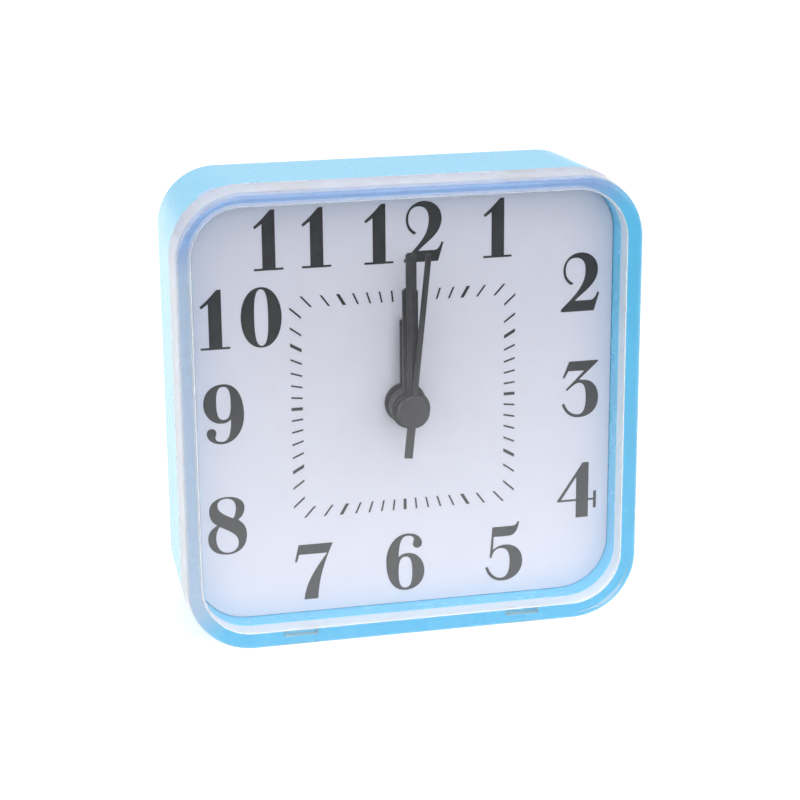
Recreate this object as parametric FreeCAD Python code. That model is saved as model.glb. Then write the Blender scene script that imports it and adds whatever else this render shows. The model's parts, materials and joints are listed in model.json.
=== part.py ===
"""A square pendulette alarm clock: a blue moulded case, a clear push-fit front and a quartz alarm movement.

Millimetres. +Z is up, the dial faces -Y, and the origin is under the middle of the whole clock, on the
surface that it stands on. Depths along Y are counted from the dial's face, and places across the dial
are (x, z) pairs.
"""

import FreeCAD
import Part
import math
import os

V = FreeCAD.Vector
BACKWARD = V(0, 1, 0)
ACROSS = V(1, 0, 0)
UP = V(0, 0, 1)

# Outside of the case
case_width = 76.0              # at the parting line, the widest place, and just as high
side_draft = 1.1               # how far each side slopes in towards the back
top_draft = 1.1                # the same for the top; the base stays flat
cover_draft = 0.5              # how far each side of the clear cover slopes in towards its front
base_shaving = 0.02            # taken off below, which leaves the base a true plane
rim_corner_radius = 11.2
back_corner_radius = 9.5
cover_corner_radius = 10.6
front_above_dial = 9.2         # front of the clear cover to the dial's face
rim_above_dial = 3.8           # parting line to the dial's face
back_behind_dial = 19.6        # outside of the rear wall to the dial's face
back_edge_radius = 1.0
cover_edge_radius = 1.1

# Walls
rim_wall = 2.7                 # wall between the outside and the dial well
dial_ledge = 0.7               # step that the dial rests on
rear_wall = 2.0
cover_plate = 1.5
cover_inner_radius = 0.4
overrun = 1.0                  # how far a cut runs past the face that it opens

# General fits
running_fit = 0.05             # radial clearance of anything that turns on or in something
slip_gap = 0.1                 # clearance of a piece that drops into its seat
free_gap = 0.3                 # clearance between pieces that move past each other

# Clips of the clear cover
clip_offset = 18.8             # clip centre to the middle of the side
clip_width = 5.5
clip_thickness = 1.0
clip_length = 1.6
clip_inset = 0.9               # dial well to the clip

# Dial
dial_thickness = 0.8
dial_hole_radius = 3.1
ink_thickness = 0.05
track_half = 18.7              # half the side of the square minute track
track_inner_half = 16.85
minute_mark = 0.28             # width of a minute mark
five_minute_mark = 0.5
hour_count = 12
minute_count = 60
marks_per_hour = minute_count // hour_count

# Numerals: the height of the em square, and the distance that their places are shares of
numeral_em = 10.0
numeral_reach = 30.0

# Movement box
movement_width = 52.0
movement_drop = 15.8           # hand axis to its lower side
movement_rise = 22.2           # hand axis to its upper side
movement_plate = 1.2           # front plate
movement_wall = 1.2
movement_depth = 13.1          # front plate's inner face to the outside of its rear wall
movement_corner_radius = 2.0
ear_gap = 2.0                  # end of a screw ear to the side of the cavity
ear_height = 4.4

# Layers of the train, counted back from the front plate's inner face
layer_start = 0.3
layer_step = 1.3
wheel_thickness = 0.7
bridge_gap = 0.3
bridge_thickness = 0.8
alarm_layer = 0
hour_layer = 1
motion_layer = 2
centre_layer = 3
bridge_layer = 4               # first layer behind the bridge, with the third wheel
second_layer = 5
rotor_layer = 6
bridge_corner_radius = 1.5

# Hand axis and the arbors, as distances between centres
time_reach = 7.2               # hand axis to the motion-work wheel, and from there to the setting spindle
time_angle = 45.0              # their direction, from +X towards +Z
alarm_angle = 135.0
third_reach = 9.18
third_angle = 180.0
intermediate_reach = 7.2
intermediate_angle = -50.0
rotor_reach = 7.0
rotor_angle = -20.0

# Teeth
rotor_teeth = 8
intermediate_teeth = 48
pinion_teeth = 8
second_teeth = 40
third_teeth = 60
centre_teeth = 64
cannon_teeth = 12
motion_teeth = 36
motion_pinion_teeth = 10
hour_teeth = 40
setting_teeth = 12
alarm_teeth = 36
alarm_idler_teeth = 24
alarm_module = 0.3
pressure_angle = math.radians(28.0)
addendum_share = 0.8           # of the module
dedendum_share = 1.05
tooth_thinning_share = 0.1     # how much slimmer than half a pitch a tooth is

# Arbors and tubes
pivot_radius = 0.4
pivot_depth = 0.8
stub_radius = 0.6              # posts on the front plate
second_arbor_radius = 0.5
tube_wall = 0.65
spindle_radius = 1.1
bush_wall = 0.55

# Hands: heights above the dial's face
alarm_hand_height = 0.4
alarm_hand_thickness = 0.5
alarm_hub_radius = 3.4
alarm_hand_length = 14.5
alarm_hand_width = 1.6
hour_collar_height = 1.5
hour_hand_height = 4.2
hour_hand_thickness = 0.6
hour_collar_radius = 3.0
hour_hub_radius = 3.2
hour_hand_length = 20.1
hour_hand_width = 2.5
minute_hand_height = 5.2
minute_hand_thickness = 0.4
minute_hub_radius = 2.95
minute_hand_length = 26.0
minute_hand_width = 1.7
second_hand_height = 6.0
second_hand_thickness = 0.35
second_hub_radius = 2.7
second_hub_rise = 0.55
second_hub_edge = 0.3
second_hand_length = 26.0
second_hand_width = 0.9
second_tail_length = 7.8
second_tail_width = 1.35
second_hand_angle = 6.0        # one second past twelve
hand_ridge = 0.15              # height of the ridge along a hand
tip_share = 0.2                # of a hand's width: the bevel at its tip

# Stepping motor
magnet_radius = 2.2
magnet_length = 1.6
magnet_gap = 0.5
stator_thickness = 0.7
stator_gap = 0.3               # last layer of wheels to the stator
pole_side = 8.4                # the square of the stator around the magnet
stator_upright = 3.4           # width of its upright limb
stator_limb = 3.0              # height of the limbs that carry the core
stator_right = 21.4
stator_rise = 6.0              # hand axis to its upper edge
coil_x = 19.3
coil_radius = 2.1
bobbin_radius = 1.1
bobbin_flange = 0.6
flange_radius = 2.25
core_width = 1.4
stator_post_radius = 1.0
stator_post_offsets = ((13.7, 4.5), (17.6, -10.6))

# Electronics; an offset is a place counted from the hand axis
board_left = -21.4
board_right = -5.5
board_drop = 14.0              # hand axis to the board's lower edge
board_height = 9.0
board_thickness = 0.8
board_post_radius = 1.0
board_post_offsets = ((-20.0, -6.4), (-7.0, -12.6))
crystal_radius = 1.0
crystal_length = 6.0
crystal_offset = (-19.6, -12.8)
crystal_gap = 0.05
chip_side = 4.5
chip_height = 1.0
chip_offset = (-9.6, -9.0)
wire_radius = 0.4
wire_bend = 0.6
wire_gap = 0.25                # ceiling of the battery bay to the wires that lie along it
wire_landing = 2.4             # how far a wire lies on the circuit board
positive_wire_x = -16.5
negative_wire_x = -13.3

# Buzzer on the rear wall of the case
buzzer_drop = 5.5              # hand axis to the middle of the buzzer
buzzer_radius = 9.0
buzzer_thickness = 0.3
ceramic_radius = 6.5
ceramic_thickness = 0.2
buzzer_ring_wall = 1.0
buzzer_ring_height = 1.2
buzzer_pin_radius = 0.3
disc_pin_offset = (-7.4, -8.5)
ceramic_pin_offset = (-6.0, -6.0)
sound_slot_count = 5
sound_slot_length = 10.0
sound_slot_height = 1.2
sound_slot_step = 2.6

# Battery and its bay
battery_radius = 7.25
battery_length = 50.0
nub_radius = 2.75
nub_length = 1.0
battery_gap = 0.4
battery_crimp = 0.4
battery_crimp_depth = 0.25
bay_end_room = 3.0             # end of the battery to the end of its bay
bay_headroom = 1.6
bay_wall = 1.0
contact_thickness = 0.3
contact_width = 5.0
contact_drop = 4.45            # battery's axis to a contact's lower edge
contact_bow_width = 3.0
contact_bow_height = 7.0
contact_tab_width = 2.4
contact_tab_rise = 0.35        # how far a tab stands above its wire

# Battery door
door_end_margin = 0.8          # end of the bay to the end of the door
door_low_margin = 0.4          # the same at the bay's floor
door_high_margin = 1.3         # and at its ceiling
door_gap = 0.2
door_thickness = 1.9
door_hinge_radius = 0.6        # round upper edge, about whose middle the door tips open
tongue_offset = 17.0
tongue_width = 6.0
tongue_thickness = 1.0
tongue_reach = 1.0
tongue_root = 2.5
grip_count = 5
grip_width = 16.0
grip_height = 0.6
grip_depth = 0.35
grip_step = 1.2
grip_margin = 1.8              # lower edge of the door to the first grip line
finger_notch_radius = 5.0
finger_notch_depth = 1.1
finger_notch_rise = 1.6

# Setting knobs
knob_radius = 5.5
knob_proud = 3.0               # how far the knobs stand out of the back
knob_height = 3.6
knob_edge = 0.5
knob_flutes = 20
knob_flute_radius = 0.45
knob_dish_radius = 3.6
knob_dish_depth = 0.6
knob_socket = 2.2
well_gap = 0.9
well_depth = 0.9

# Alarm switch
switch_rise = 19.0             # hand axis to the switch
switch_travel = 4.0
switch_button_width = 4.0
switch_button_height = 3.4
switch_proud = 1.4
switch_flange = 1.6            # how far the flange reaches past the button
switch_rib_count = 3
switch_rib = 0.4
switch_rib_step = 1.1
switch_peg_radius = 0.8
switch_peg_end = 0.6           # how far the peg reaches past the contact leaf

# Screws and what they hold; a drop or a rise is counted from the hand axis
boss_inset = 4.2               # side of the cavity to the middle of a boss
boss_drop = 12.0
boss_rise = 18.4
boss_radius = 2.2
case_screw_radius = 0.9
case_screw_head = 1.8
case_screw_head_height = 0.75
case_screw_length = 7.0
small_screw_radius = 0.6
small_screw_head = 1.1
small_screw_head_height = 0.6
movement_screw_length = 4.6
bridge_screw_length = 3.0
screw_slot_width = 0.4
screw_slot_depth = 0.3
head_gap = 0.05
pillar_x = 23.2
pillar_drop = 13.0
pillar_rise = 19.4
pillar_radius = 1.4
bridge_half = 16.6
bridge_drop = 13.1
bridge_rise = 16.6
bridge_post_x = 14.5
bridge_post_drop = 11.0
bridge_post_rise = 14.5
post_shoulder_radius = 1.0

# Alarm contact leaf, from the circuit board up to the switch's peg
leaf_thickness = 0.2
leaf_width = 2.0
leaf_x = -15.0
leaf_foot = 3.0                # how far it lies on the board

# Smallest depth that counts as a difference
depth_tolerance = 0.0001

# Turns, in degrees
full_turn = 360.0
half_turn = full_turn / 2
quarter_turn = full_turn / 4
arc_point_shares = (0, 0.5, 1)  # where an arc's three points lie along it

# Planes, from front to back
y_front = -(front_above_dial + back_behind_dial + knob_proud) / 2
y_dial = y_front + front_above_dial
y_rim = y_dial - rim_above_dial
y_back = y_dial + back_behind_dial
y_rear_inside = y_back - rear_wall
y_dial_back = y_dial + dial_thickness
y_plate_inside = y_dial_back + movement_plate
y_box_outside = y_plate_inside + movement_depth
y_box_inside = y_box_outside - movement_wall

# Heights and half widths
z_axis = case_width / 2
well_half = case_width / 2 - rim_wall
cavity_half = well_half - dial_ledge
z_floor = z_axis - cavity_half
well_corner_radius = rim_corner_radius - rim_wall
cavity_corner_radius = well_corner_radius - dial_ledge
hand_axis = (0, z_axis)
back_half = case_width / 2 - side_draft
back_high = case_width - top_draft
cover_half = case_width / 2 - cover_draft
ear_half = cavity_half - ear_gap
boss_x = cavity_half - boss_inset
movement_low = z_axis - movement_drop
movement_high = z_axis + movement_rise
board_low = z_axis - board_drop
board_high = board_low + board_height
stator_high = z_axis + stator_rise
buzzer_z = z_axis - buzzer_drop
switch_z = z_axis + switch_rise


def from_axis(offset):
    """Place across the dial that lies this far from the hand axis."""
    return (hand_axis[0] + offset[0], hand_axis[1] + offset[1])


stator_post_places = [from_axis(offset) for offset in stator_post_offsets]
board_post_places = [from_axis(offset) for offset in board_post_offsets]
crystal_place = from_axis(crystal_offset)
chip_place = from_axis(chip_offset)
disc_pin_place = from_axis(disc_pin_offset)
ceramic_pin_place = from_axis(ceramic_pin_offset)


def layer(index):
    """Depth of the front face of a layer of wheels; from bridge_layer on they lie behind the bridge."""
    y = y_plate_inside + layer_start + layer_step * index
    if index >= bridge_layer:
        y += bridge_gap + bridge_thickness
        y -= layer_step - wheel_thickness - bridge_gap
    return y


y_bridge = layer(centre_layer) + wheel_thickness + bridge_gap
y_bridge_back = y_bridge + bridge_thickness
y_stator = layer(rotor_layer) + wheel_thickness + stator_gap
y_board = y_stator


def polar(centre, reach, degrees):
    angle = math.radians(degrees)
    return (centre[0] + reach * math.cos(angle), centre[1] + reach * math.sin(angle))


def rim_module(reach, teeth, mate_teeth):
    """Module of a pair of wheels that mesh at this distance between centres."""
    return 2 * reach / (teeth + mate_teeth)


motion_axis = polar(hand_axis, time_reach, time_angle)
setting_axis = polar(motion_axis, time_reach, time_angle)
alarm_idler_reach = alarm_module * (alarm_teeth + alarm_idler_teeth) / 2
alarm_knob_reach = alarm_module * (alarm_idler_teeth + setting_teeth) / 2
alarm_idler_axis = polar(hand_axis, alarm_idler_reach, alarm_angle)
alarm_axis = polar(alarm_idler_axis, alarm_knob_reach, alarm_angle)
third_axis = polar(hand_axis, third_reach, third_angle)
intermediate_axis = polar(hand_axis, intermediate_reach, intermediate_angle)
rotor_axis = polar(intermediate_axis, rotor_reach, rotor_angle)

# Tubes on the hand axis, from the inside out
cannon_bore = second_arbor_radius + running_fit
cannon_radius = cannon_bore + tube_wall
hour_bore = cannon_radius + running_fit
hour_tube_radius = hour_bore + bush_wall
alarm_bore = hour_tube_radius + running_fit
alarm_tube_radius = alarm_bore + bush_wall
plate_bore = alarm_tube_radius + running_fit
plate_bush_radius = dial_hole_radius - slip_gap


# Plain solids

def disc(radius, y0, y1, centre):
    return Part.makeCylinder(radius, y1 - y0, V(centre[0], y0, centre[1]), BACKWARD)


def ring(outer, inner, y0, y1, centre):
    return disc(outer, y0, y1, centre).cut(disc(inner, y0 - overrun, y1 + overrun, centre))


def block(x0, x1, y0, y1, z0, z1):
    return Part.makeBox(x1 - x0, y1 - y0, z1 - z0, V(x0, y0, z0))


def fuse(first, others):
    return first.multiFuse(list(others)).removeSplitter()


def prism(points, y0, y1):
    """Solid of a straight-sided outline of (x, z) points between two depths."""
    corners = [V(x, y0, z) for x, z in points]
    face = Part.Face(Part.makePolygon(corners + corners[:1]))
    return face.extrude(V(0, y1 - y0, 0))


def rounded_outline(half_width, z_low, z_high, radius, y):
    """Wire of an upright rectangle with round corners."""
    inner = half_width - radius
    low = z_low + radius
    high = z_high - radius
    arcs = []
    for index, middle in enumerate(((inner, low), (inner, high), (-inner, high), (-inner, low))):
        quarters = [index - 1 + share for share in arc_point_shares]
        ends = [polar(middle, radius, quarter * quarter_turn) for quarter in quarters]
        arcs.append([V(x, y, z) for x, z in ends])
    edges = []
    for arc, following in zip(arcs, arcs[1:] + arcs[:1]):
        edges.append(Part.Arc(*arc).toShape())
        edges.append(Part.LineSegment(arc[-1], following[0]).toShape())
    return Part.Wire(edges)


def rounded_plate(half_width, z_low, z_high, radius, y0, y1):
    outline = rounded_outline(half_width, z_low, z_high, radius, y0)
    return Part.Face(outline).extrude(V(0, y1 - y0, 0))


def edges_at_depth(shape, y):
    """Edges that lie wholly at one depth."""
    boxes = [(edge, edge.BoundBox) for edge in shape.Edges]
    return [edge for edge, box in boxes
            if abs(box.YMin - y) < depth_tolerance and abs(box.YMax - y) < depth_tolerance]


def mirrored(x, drop, rise):
    """Four places, left and right, below and above the hand axis."""
    return [from_axis((side * x, height)) for side in (-1, 1) for height in (-drop, rise)]


case_screw_places = mirrored(boss_x, boss_drop, boss_rise)
movement_screw_places = mirrored(pillar_x, pillar_drop, pillar_rise)
bridge_screw_places = mirrored(bridge_post_x, bridge_post_drop, bridge_post_rise)


# Toothed wheels

def involute(angle):
    return math.tan(angle) - angle


def gear(teeth, module, y0, y1, centre, phase):
    """Spur gear with one tooth centred on the phase, an angle from +X towards +Z."""
    pitch_radius = module * teeth / 2
    base_radius = pitch_radius * math.cos(pressure_angle)
    tip_radius = pitch_radius + addendum_share * module
    root_radius = pitch_radius - dedendum_share * module
    flank_radius = max(base_radius, root_radius)
    half_tooth = math.pi / (2 * teeth) * (1 - tooth_thinning_share)

    def flank_angle(radius):
        return half_tooth + involute(pressure_angle) - involute(math.acos(base_radius / radius))

    def point(radius, angle):
        x, z = polar(centre, radius, math.degrees(angle))
        return V(x, y0, z)

    middle_radius = (flank_radius + tip_radius) / 2
    radii = (flank_radius, middle_radius, tip_radius)
    edges = []
    for index in range(teeth):
        axis = phase + 2 * math.pi * index / teeth
        following = phase + 2 * math.pi * (index + 1) / teeth
        rising = [point(radius, axis - flank_angle(radius)) for radius in radii]
        falling = [point(radius, axis + flank_angle(radius)) for radius in reversed(radii)]
        root_start = point(root_radius, axis + flank_angle(flank_radius))
        root_end = point(root_radius, following - flank_angle(flank_radius))
        next_rise = point(flank_radius, following - flank_angle(flank_radius))
        edges.append(Part.Arc(*rising).toShape())
        edges.append(Part.LineSegment(rising[-1], falling[0]).toShape())
        edges.append(Part.Arc(*falling).toShape())
        if flank_radius > root_radius:
            edges.append(Part.LineSegment(falling[-1], root_start).toShape())
        edges.append(Part.LineSegment(root_start, root_end).toShape())
        if flank_radius > root_radius:
            edges.append(Part.LineSegment(root_end, next_rise).toShape())
    return Part.Face(Part.Wire(edges)).extrude(V(0, y1 - y0, 0))


def meshed_phase(phase, teeth, centre, mate_teeth, mate_centre):
    """Phase of the mate of a gear, so that a tooth of one stands in a gap of the other."""
    line = math.atan2(mate_centre[1] - centre[1], mate_centre[0] - centre[0])
    return line + math.pi - (phase - line) * teeth / mate_teeth + math.pi / mate_teeth


def wheel(teeth, module, index, centre, phase):
    """The toothed disc of a wheel in its layer."""
    y0 = layer(index)
    return gear(teeth, module, y0, y0 + wheel_thickness, centre, phase)


def pinion(teeth, module, index, centre, phase, depth=layer_step):
    """A pinion that starts at the front of its layer and runs back into its wheel."""
    y0 = layer(index)
    return gear(teeth, module, y0, y0 + depth, centre, phase)


def bored(shape, radius, centre):
    box = shape.BoundBox
    return shape.cut(disc(radius, box.YMin - overrun, box.YMax + overrun, centre))


def pivot_hole(y_face, toward, centre):
    """Blind bearing hole from a face: toward is 1 for backward and -1 for forward."""
    y0, y1 = sorted((y_face - toward * overrun, y_face + toward * pivot_depth))
    return disc(pivot_radius + running_fit, y0, y1, centre)


# Modules and phases of the meshing pairs
rotor_module = rim_module(rotor_reach, rotor_teeth, intermediate_teeth)
intermediate_module = rim_module(intermediate_reach, pinion_teeth, second_teeth)
second_module = rim_module(third_reach, pinion_teeth, third_teeth)
third_module = rim_module(third_reach, pinion_teeth, centre_teeth)
motion_module = rim_module(time_reach, cannon_teeth, motion_teeth)
hour_module = rim_module(time_reach, motion_pinion_teeth, hour_teeth)
rotor_phase = meshed_phase(0, intermediate_teeth, intermediate_axis, rotor_teeth, rotor_axis)
intermediate_phase = meshed_phase(0, second_teeth, hand_axis, pinion_teeth, intermediate_axis)
third_phase = meshed_phase(0, pinion_teeth, hand_axis, third_teeth, third_axis)
centre_phase = meshed_phase(0, pinion_teeth, third_axis, centre_teeth, hand_axis)
motion_phase = meshed_phase(0, cannon_teeth, hand_axis, motion_teeth, motion_axis)
setting_phase = meshed_phase(motion_phase, motion_teeth, motion_axis, setting_teeth, setting_axis)
hour_phase = meshed_phase(0, motion_pinion_teeth, motion_axis, hour_teeth, hand_axis)
alarm_idler_phase = meshed_phase(0, alarm_teeth, hand_axis, alarm_idler_teeth, alarm_idler_axis)
alarm_phase = meshed_phase(alarm_idler_phase, alarm_idler_teeth, alarm_idler_axis, setting_teeth, alarm_axis)


# Case and cover

battery_y = y_rear_inside - battery_gap - battery_radius
battery_z = z_floor + battery_gap + battery_radius
bay_front = battery_y - battery_radius - battery_gap
bay_ceiling = battery_z + battery_radius + bay_headroom
bay_top = bay_ceiling + bay_wall
bay_half_length = battery_length / 2 + bay_end_room
door_half_length = bay_half_length - door_end_margin
door_low = z_floor + door_low_margin
door_high = bay_ceiling - door_high_margin
wire_height = bay_top + wire_gap + wire_radius
wire_y = y_board - wire_radius
contact_outside = bay_half_length - slip_gap
contact_inside = contact_outside - contact_thickness
contact_low = battery_z - contact_drop


def clip_block(side, end, gap=0, run=0):
    """One clip of the clear cover; its pocket in the case has a gap and runs out past the rim."""
    x = side * clip_offset
    near = well_half + clip_inset
    z_near, z_far = sorted((z_axis + end * (near - gap), z_axis + end * (near + clip_thickness + gap)))
    return block(x - clip_width / 2 - gap, x + clip_width / 2 + gap, y_rim - run,
                 y_rim + clip_length + gap, z_near, z_far)


def all_clips(gap=0, run=0):
    return [clip_block(side, end, gap, run) for side in (-1, 1) for end in (-1, 1)]


def front_cover():
    front = rounded_outline(cover_half, z_axis - cover_half, z_axis + cover_half, cover_corner_radius,
                            y_front)
    rim = rounded_outline(case_width / 2, 0, case_width, rim_corner_radius, y_rim)
    outside = Part.makeLoft([front, rim], True, True)
    outside = outside.makeFillet(cover_edge_radius, edges_at_depth(outside, y_front))
    y_inside = y_front + cover_plate
    inside = rounded_plate(well_half, z_axis - well_half, z_axis + well_half, well_corner_radius,
                           y_inside, y_rim + overrun)
    inside = inside.makeFillet(cover_inner_radius, edges_at_depth(inside, y_inside))
    return fuse(outside.cut(inside), all_clips())


def battery_bay():
    """Walls of the bay that the case is moulded with: ceiling, front and both ends."""
    outer = bay_half_length + bay_wall
    walls = block(-outer, outer, bay_front - bay_wall, y_rear_inside + overrun, z_floor - overrun, bay_top)
    return walls.cut(block(-bay_half_length, bay_half_length, bay_front, y_rear_inside + overrun,
                           z_floor, bay_ceiling))


def tab_slot(side):
    """Slot in the bay's ceiling for the tab of a battery contact."""
    x0, x1 = sorted((side * (contact_inside - slip_gap), side * bay_half_length))
    half = contact_tab_width / 2 + slip_gap
    return block(x0, x1, wire_y - half, wire_y + half, bay_ceiling - overrun, bay_top + overrun)


def sound_slot(index):
    z = buzzer_z + (index - (sound_slot_count - 1) / 2) * sound_slot_step
    half = sound_slot_length / 2 - sound_slot_height / 2
    low = z - sound_slot_height / 2
    high = z + sound_slot_height / 2
    y0 = y_rear_inside - overrun
    y1 = y_back + overrun
    ends = [disc(sound_slot_height / 2, y0, y1, (side * half, z)) for side in (-1, 1)]
    return fuse(block(-half, half, y0, y1, low, high), ends)


def case_shell():
    half = case_width / 2
    rim = rounded_outline(half, -base_shaving, case_width, rim_corner_radius, y_rim)
    back = rounded_outline(back_half, -base_shaving, back_high, back_corner_radius, y_back)
    body = Part.makeLoft([rim, back], True, True)
    body = body.makeFillet(back_edge_radius, edges_at_depth(body, y_back))
    body = body.cut(block(-half, half, y_rim - overrun, y_back + overrun, -overrun, 0))
    body = body.cut(rounded_plate(well_half, z_axis - well_half, z_axis + well_half, well_corner_radius,
                                  y_rim - overrun, y_dial_back))
    body = body.cut(rounded_plate(cavity_half, z_floor, z_axis + cavity_half, cavity_corner_radius,
                                  y_dial_back - overrun, y_rear_inside))
    additions = [battery_bay(), ring(buzzer_radius, buzzer_radius - buzzer_ring_wall,
                                     y_rear_inside - buzzer_ring_height, y_rear_inside + overrun,
                                     (0, buzzer_z))]
    for place in case_screw_places:
        additions.append(disc(boss_radius, y_plate_inside, y_rear_inside + overrun, place))
    body = fuse(body, additions)
    y0 = y_rear_inside - overrun
    y1 = y_back + overrun
    cuts = all_clips(slip_gap, overrun) + [tab_slot(-1), tab_slot(1)]
    cuts.append(block(-door_half_length - door_gap, door_half_length + door_gap, y0, y1,
                      door_low - door_gap, door_high + door_gap))
    cuts += [sound_slot(index) for index in range(sound_slot_count)]
    for place in (setting_axis, alarm_axis):
        cuts.append(disc(knob_radius + well_gap, y_back - well_depth, y1, place))
        cuts.append(disc(spindle_radius + free_gap, y0, y1, place))
    half_slot = (switch_button_width + switch_travel) / 2 + slip_gap
    half_high = switch_button_height / 2 + slip_gap
    cuts.append(block(-half_slot, half_slot, y0, y1, switch_z - half_high, switch_z + half_high))
    for place in case_screw_places:
        cuts.append(disc(case_screw_radius, y_plate_inside - overrun,
                         y_dial_back + case_screw_length + overrun, place))
    return body.cut(Part.makeCompound(cuts))


def battery_door():
    y0 = y_back - door_thickness
    plate = block(-door_half_length, door_half_length, y0, y_back, door_low, door_high)
    hinge_edges = [edge for edge in edges_at_depth(plate, y_back)
                   if edge.BoundBox.ZMin > door_high - depth_tolerance]
    plate = plate.makeFillet(door_hinge_radius, hinge_edges)
    tongues = []
    for side in (-1, 1):
        x0 = side * tongue_offset - tongue_width / 2
        x1 = side * tongue_offset + tongue_width / 2
        y_tongue = y_rear_inside - slip_gap - tongue_thickness
        tongues.append(block(x0, x1, y_tongue, y_rear_inside - slip_gap, door_high - tongue_root,
                             door_high + tongue_reach))
        tongues.append(block(x0, x1, y_tongue, y0, door_high - tongue_root, door_high))
    grips = []
    for index in range(grip_count):
        z = door_low + grip_margin + index * grip_step
        grips.append(block(-grip_width / 2, grip_width / 2, y_back - grip_depth, y_back + overrun,
                           z, z + grip_height))
    notch = disc(finger_notch_radius, y_back - finger_notch_depth, y_back + overrun,
                 (0, door_low - finger_notch_radius + finger_notch_rise))
    return fuse(plate, tongues).cut(Part.makeCompound(grips)).cut(notch)


# Dial

# Outlines of the numerals in shares of the em square, from its lower left corner: a pair is the end of a
# straight line, six values are a curve's two handles and its end
numeral_outline_shares = {
    "0": (((.330, 0), (.530, 0, .660, .220, .660, .495), (.660, .770, .530, .990, .330, .990),
           (.130, .990, 0, .770, 0, .495), (0, .220, .130, 0, .330, 0)),
          ((.330, .030), (.420, .030, .442, .200, .442, .495), (.442, .790, .420, .955, .330, .955),
           (.240, .955, .216, .790, .216, .495), (.216, .200, .240, .030, .330, .030))),
    "1": (((0, 0), (.475, 0), (.475, .034), (.348, .034), (.348, .975), (.278, .975),
           (.200, .890, .110, .790, .004, .712), (.026, .672), (.138, .752), (.138, .034), (0, .034)),),
    "2": (((.005, 0), (.566, 0), (.655, .300), (.625, .317), (.595, .235, .565, .181, .500, .181),
           (.240, .181), (.350, .310, .626, .430, .626, .695), (.626, .870, .500, .988, .330, .988),
           (.160, .988, .036, .860, .036, .695), (.036, .590, .080, .500, .172, .447), (.212, .480),
           (.120, .530, .076, .600, .076, .700), (.076, .820, .130, .905, .240, .905),
           (.360, .905, .414, .820, .414, .690), (.414, .480, .300, .340, .160, .195), (0, .040)),),
    "3": (((.115, .974), (.620, .974), (.612, .950), (.300, .665), (.300, .650), (.370, .644),
           (.530, .644, .628, .500, .628, .330), (.628, .130, .500, 0, .290, 0),
           (.150, 0, .050, .080, 0, .235), (.036, .258), (.090, .110, .180, .050, .285, .050),
           (.390, .050, .412, .200, .412, .330), (.412, .480, .385, .598, .290, .598),
           (.240, .598, .180, .560, .085, .470), (.060, .492), (.380, .806), (.105, .812),
           (.032, .684), (.008, .706)),),
    "4": (((0, .296), (.331, .296), (.331, 0), (.545, 0), (.545, .296), (.635, .296), (.635, .154),
           (.685, .154), (.685, .456), (.635, .456), (.635, .328), (.545, .328), (.545, .976),
           (.440, .976), (0, .320)),
          ((.068, .330), (.331, .330), (.331, .730))),
    "5": (((.125, .970), (.430, .970), (.510, .970, .545, .985, .560, 1.040), (.592, 1.042),
           (.570, .900, .520, .798, .400, .798), (.146, .798), (.136, .566),
           (.190, .615, .260, .644, .345, .644), (.530, .644, .650, .520, .650, .335),
           (.650, .140, .510, 0, .300, 0), (.150, 0, .050, .090, 0, .258), (.045, .268),
           (.095, .130, .180, .052, .275, .052), (.390, .052, .430, .180, .430, .335),
           (.430, .500, .380, .588, .270, .588), (.180, .588, .125, .520, .112, .425), (.078, .425)),),
    "6": (((.214, .595), (.255, .640, .305, .656, .365, .656), (.540, .656, .654, .500, .654, .326),
           (.654, .130, .520, 0, .330, 0), (.120, 0, 0, .200, 0, .520), (0, .800, .160, 1.002, .370, 1.002),
           (.500, 1.002, .614, .930, .614, .815), (.614, .770, .580, .735, .535, .735),
           (.490, .735, .458, .770, .458, .805), (.458, .850, .485, .870, .474, .905),
           (.466, .945, .420, .962, .360, .962), (.260, .962, .214, .820, .214, .595)),
          ((.210, .320), (.210, .500, .240, .596, .328, .596), (.420, .596, .446, .500, .446, .320),
           (.446, .140, .420, .042, .328, .042), (.240, .042, .210, .140, .210, .320))),
    "7": (((.149, 0), (.381, 0), (.400, .330, .480, .600, .641, .966), (.069, .966), (.001, .674),
           (.035, .666), (.075, .796), (.549, .796), (.400, .600, .180, .330, .149, 0)),),
    "8": (((.320, 0), (.520, 0, .640, .130, .640, .330), (.640, .450, .590, .530, .500, .590),
           (.570, .630, .612, .710, .612, .800), (.612, .920, .490, .994, .330, .994),
           (.150, .994, .030, .900, .030, .755), (.030, .640, .080, .560, .158, .515),
           (.055, .465, 0, .380, 0, .275), (0, .110, .120, 0, .320, 0)),
          ((.170, .850), (.170, .925, .230, .966, .315, .966), (.420, .966, .470, .890, .470, .800),
           (.470, .720, .450, .660, .420, .618), (.290, .680, .170, .740, .170, .850)),
          ((.132, .285), (.132, .130, .210, .030, .325, .030), (.440, .030, .500, .110, .500, .200),
           (.500, .330, .370, .400, .195, .487), (.155, .430, .132, .370, .132, .285))),
}
nine_turn_shares = (.654, 1.002)   # a nine is a six turned round inside this rectangle

# Lower left corner of each numeral, in shares of the numerals' distance from the hand axis
numeral_place_shares = (
    ("1", -.212, .774), ("2", .003, .773), ("1", .442, .772), ("2", .883, .442), ("3", .898, -.167),
    ("4", .878, -.760), ("5", .460, -1.100), ("6", -.110, -1.102), ("7", -.625, -1.103),
    ("8", -1.099, -.798), ("9", -1.100, -.165), ("1", -1.103, .362), ("0", -.885, .357),
    ("1", -.807, .775), ("1", -.550, .775),
)


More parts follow.
